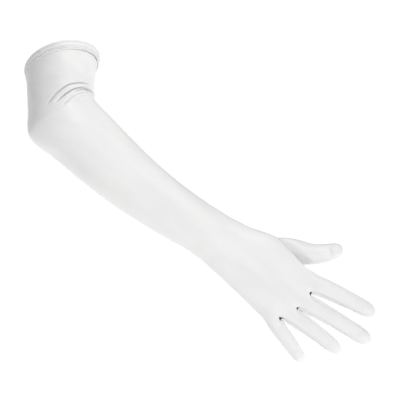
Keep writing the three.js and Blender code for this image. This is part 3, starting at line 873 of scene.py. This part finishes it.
def satin_surface():
    """Shader group: the satin's fine twill and its crumple as a normal, as strong as the inputs say, and a
    mask of slow streaks of tone along the arm."""
    group = bpy.data.node_groups.new("satin_surface", "ShaderNodeTree")
    sockets = (("Twill", "INPUT", "Float"), ("Crumple", "INPUT", "Float"),
               ("Tone", "OUTPUT", "Float"), ("Normal", "OUTPUT", "Vector"))
    for name, way, kind in sockets:
        group.interface.new_socket(name, in_out=way, socket_type="NodeSocket" + kind)
    nodes, links = group.nodes, group.links
    given, output = nodes.new("NodeGroupInput"), nodes.new("NodeGroupOutput")
    place = nodes.new("ShaderNodeTexCoord")
    slope = math.radians(ARM_SLOPE)
    along_arm = add_node(nodes, "ShaderNodeMapping", {"Rotation": (0, slope, 0), "Scale": (4.5, 1, 1)})
    along_arm.vector_type = "TEXTURE"
    slow = add_node(nodes, "ShaderNodeTexNoise", {"Scale": 60, "Detail": 3})
    spread = add_node(nodes, "ShaderNodeMapRange", {"From Min": 0.32, "From Max": 0.62})
    twill = add_node(nodes, "ShaderNodeTexWave", {"Scale": 620, "Distortion": 1.6, "Detail": 2})
    twill.wave_type = "BANDS"
    twill.bands_direction = "DIAGONAL"
    crumple = add_node(nodes, "ShaderNodeTexNoise", {"Scale": 95, "Detail": 4})
    fine = add_node(nodes, "ShaderNodeBump", {"Distance": 0.00012})
    broad = add_node(nodes, "ShaderNodeBump", {"Distance": 0.0009})
    for texture in (along_arm, twill, crumple):
        links.new(place.outputs["Object"], texture.inputs["Vector"])
    links.new(along_arm.outputs["Vector"], slow.inputs["Vector"])
    links.new(slow.outputs["Fac"], spread.inputs["Value"])
    links.new(given.outputs["Twill"], fine.inputs["Strength"])
    links.new(given.outputs["Crumple"], broad.inputs["Strength"])
    links.new(twill.outputs["Fac"], fine.inputs["Height"])
    links.new(crumple.outputs["Fac"], broad.inputs["Height"])
    links.new(broad.outputs["Normal"], fine.inputs["Normal"])
    links.new(spread.outputs["Result"], output.inputs["Tone"])
    links.new(fine.outputs["Normal"], output.inputs["Normal"])
    return group


def satin(name, surface_group, light, dark, roughness):
    """White stretch satin: a soft sheen, a tone that drifts between near whites, and shade painted into its
    creases.
    """
    material = bpy.data.materials.new(name)
    material.use_nodes = True
    nodes, links = material.node_tree.nodes, material.node_tree.links
    shader = nodes["Principled BSDF"]
    surface = nodes.new("ShaderNodeGroup")
    surface.node_tree = surface_group
    surface.inputs["Twill"].default_value = 0.10
    surface.inputs["Crumple"].default_value = 0.16
    tone, painted_shade_mix = nodes.new("ShaderNodeMix"), nodes.new("ShaderNodeMix")
    tone.data_type = painted_shade_mix.data_type = "RGBA"
    tone.inputs["A"].default_value = (*dark, 1)
    tone.inputs["B"].default_value = (*light, 1)
    # Painted shade: the base colour is mixed towards this near black by the shade painted into the creases
    painted_shade_mix.inputs["B"].default_value = (0.10, 0.10, 0.10, 1)
    painted_crease_shade = nodes.new("ShaderNodeAttribute")
    painted_crease_shade.attribute_name = "painted_crease_shade"
    links.new(surface.outputs["Tone"], tone.inputs["Factor"])
    links.new(tone.outputs["Result"], painted_shade_mix.inputs["A"])
    links.new(painted_crease_shade.outputs["Fac"], painted_shade_mix.inputs["Factor"])
    links.new(painted_shade_mix.outputs["Result"], shader.inputs["Base Color"])
    links.new(surface.outputs["Normal"], shader.inputs["Normal"])
    shader.inputs["Roughness"].default_value = roughness
    shader.inputs["Specular IOR Level"].default_value = 0.42
    shader.inputs["Sheen Weight"].default_value = 0.22
    shader.inputs["Sheen Roughness"].default_value = 0.4
    return material


def area_light(name, place, power):
    """A soft square light at a place, turned to the glove."""
    lamp = bpy.data.lights.new(name, "AREA")
    lamp.size = LIGHT_SIZE
    lamp.energy = power
    light = bpy.data.objects.new(name, lamp)
    light.location = place
    light.rotation_euler = (Vector(LIGHT_AIM) - Vector(place)).to_track_quat("-Z", "Y").to_euler()
    bpy.context.scene.collection.objects.link(light)


def pale_floor():
    """A round pale floor well below the glove: a disc of points on a circle."""
    angle = np.arange(FLOOR["around"]) / FLOOR["around"] * 2 * math.pi
    height = np.full(FLOOR["around"], FLOOR["height"])
    ring = np.stack([np.cos(angle) * FLOOR["radius"], np.sin(angle) * FLOOR["radius"], height], axis=1)
    floor = new_mesh("floor", ring / MM, [list(range(FLOOR["around"]))])
    paper = bpy.data.materials.new("pale_floor")
    paper.use_nodes = True
    shader = paper.node_tree.nodes["Principled BSDF"]
    shader.inputs["Base Color"].default_value = (FLOOR["grey"], FLOOR["grey"], FLOOR["grey"], 1)
    shader.inputs["Roughness"].default_value = 0.9
    shader.inputs["Emission Color"].default_value = (1, 1, 1, 1)
    shader.inputs["Emission Strength"].default_value = FLOOR["glow"]
    floor.data.materials.append(paper)
    return floor


def set_stage():
    """Pale floor, soft studio light and the camera square to the back of the hand."""
    scene = bpy.context.scene
    camera = bpy.data.cameras.new("camera")
    camera.sensor_width = SENSOR
    camera.lens = SENSOR * CAMERA_DISTANCE / FRAME_WIDTH
    camera.clip_end = 50
    holder = bpy.data.objects.new("camera", camera)
    holder.location = Vector(FRAME_MIDDLE) - Vector((0, CAMERA_DISTANCE, 0))
    holder.rotation_euler = (math.pi / 2, 0, 0)
    scene.collection.objects.link(holder)
    scene.camera = holder
    pale_floor()
    scene.world = studio_world()
    scene.view_settings.view_transform = "Standard"
    for name, (place, power) in LIGHTS.items():
        area_light(name, place, power)


def studio_world():
    """A white band round the horizon, dim at the front left, and a darker room above it: the backdrop,
    less its dim part, plus the room."""
    world = bpy.data.worlds.new("studio")
    world.use_nodes = True
    nodes, links = world.node_tree.nodes, world.node_tree.links
    direction = nodes.new("ShaderNodeTexCoord")
    split = nodes.new("ShaderNodeSeparateXYZ")
    links.new(direction.outputs["Generated"], split.inputs["Vector"])

    def fade(value, edge, low, high):
        ends = {"From Min": edge[0], "From Max": edge[1], "To Min": low, "To Max": high}
        step = add_node(nodes, "ShaderNodeMapRange", ends)
        step.interpolation_type = "SMOOTHSTEP"
        links.new(value, step.inputs["Value"])
        return step.outputs["Result"]

    def combine(operation, *values):
        node = nodes.new("ShaderNodeMath")
        node.operation = operation
        for socket, value in zip(node.inputs, values):
            links.new(value, socket)
        return node.outputs["Value"]

    backdrop = fade(combine("ABSOLUTE", split.outputs["Z"]), BACKDROP["edge"], BACKDROP["bright"], 0)
    room = fade(split.outputs["Z"], BACKDROP["edge"], 0, BACKDROP["room"])
    at_front = fade(split.outputs["Y"], BACKDROP["front"], BACKDROP["dim"], 0)
    at_left = fade(split.outputs["X"], BACKDROP["left"], 1, 0)
    dimmed = combine("MULTIPLY", backdrop, combine("MULTIPLY", at_front, at_left))
    strength = combine("ADD", combine("SUBTRACT", backdrop, dimmed), room)
    links.new(strength, nodes["Background"].inputs["Strength"])
    nodes["Background"].inputs["Color"].default_value = (1, 1, 1, 1)
    return world


def shape_cloth():
    """The glove's cloth in its final shape: points moved along their normals by all reliefs, and along the
    arm by the fold lips. Returns points, normals, faces, pieces, the strips' ends and the painted shade."""
    cage, axes = build_cage()
    points, normals, places, faces, pieces = refine(cage)
    length = places[:, 0]
    angle = np.degrees(np.arctan2(places[:, 2], places[:, 1]))
    on_sleeve = 1 - smoothstep(length, HAND_START + 20, KNUCKLE_LENGTH)
    fold_out, fold_over, fold_shade = fold_relief(length, angle)
    crotches = crotch_points(points, faces, pieces, axes)
    thumb_out, thumb_shade = thumb_crease(points, faces, pieces)
    relief = on_sleeve * (fold_out + ripple_relief(points, length, angle))
    relief += finger_wrinkles(points, axes) + knuckle_fill(points, crotches) + thumb_out
    relief += sum(nail_relief(points, axis) for axis in axes.values())
    relief -= TUCK["depth"] * (1 - smoothstep(length, TUCK["from"], TUCK["to"]))
    relief -= SIDE_SEAM["deep"] * bump(np.abs(angle), 180, SIDE_SEAM["width"]) * on_sleeve
    relief -= SEAM_DENT * more_than_one(faces.ravel(), np.repeat(pieces, faces.shape[1]), len(points))
    slide = sleeve_direction(length)
    slide -= normals * np.sum(slide * normals, axis=1, keepdims=True)
    points = points + normals * stacked(relief) + slide * stacked(on_sleeve * fold_over)
    shade = np.maximum(fold_shade * on_sleeve, thumb_shade)
    return points, vertex_normals(points, faces), faces, pieces, crotches, shade


def build_glove():
    """Makes every piece of the glove, attaches each to the root body and hides the imported parts that they
    stand for.
    """
    points, normals, faces, pieces, crotches, shade = shape_cloth()
    cloth = {name: cloth_piece(name, points, normals, faces[pieces == i], crotches, shade)
             for i, name in enumerate(PIECES)}
    cloth["cuff_hem_band"] = hem_band()
    thread = {"hem_stitches": hem_stitches(), "seam_stitches": seam_stitches(points, normals, faces, pieces)}

    surface = satin_surface()
    white_satin = satin("white_satin", surface, (0.93, 0.93, 0.925), (0.885, 0.885, 0.885), 0.36)
    white_thread = satin("white_thread", surface, (0.86, 0.86, 0.86), (0.80, 0.80, 0.80), 0.6)
    for made, material in ((cloth, white_satin), (thread, white_thread)):
        for piece in made.values():
            piece.data.materials.append(material)
            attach(piece, "root")

    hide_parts("sleeve", "hand")
    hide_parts("thumb")
    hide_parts("cuff_hem")
    for name, (width, length, area) in STRIP_CUTS.items():
        cloth[name].name = name + "_strip"
        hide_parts(name)


set_stage()
build_glove()
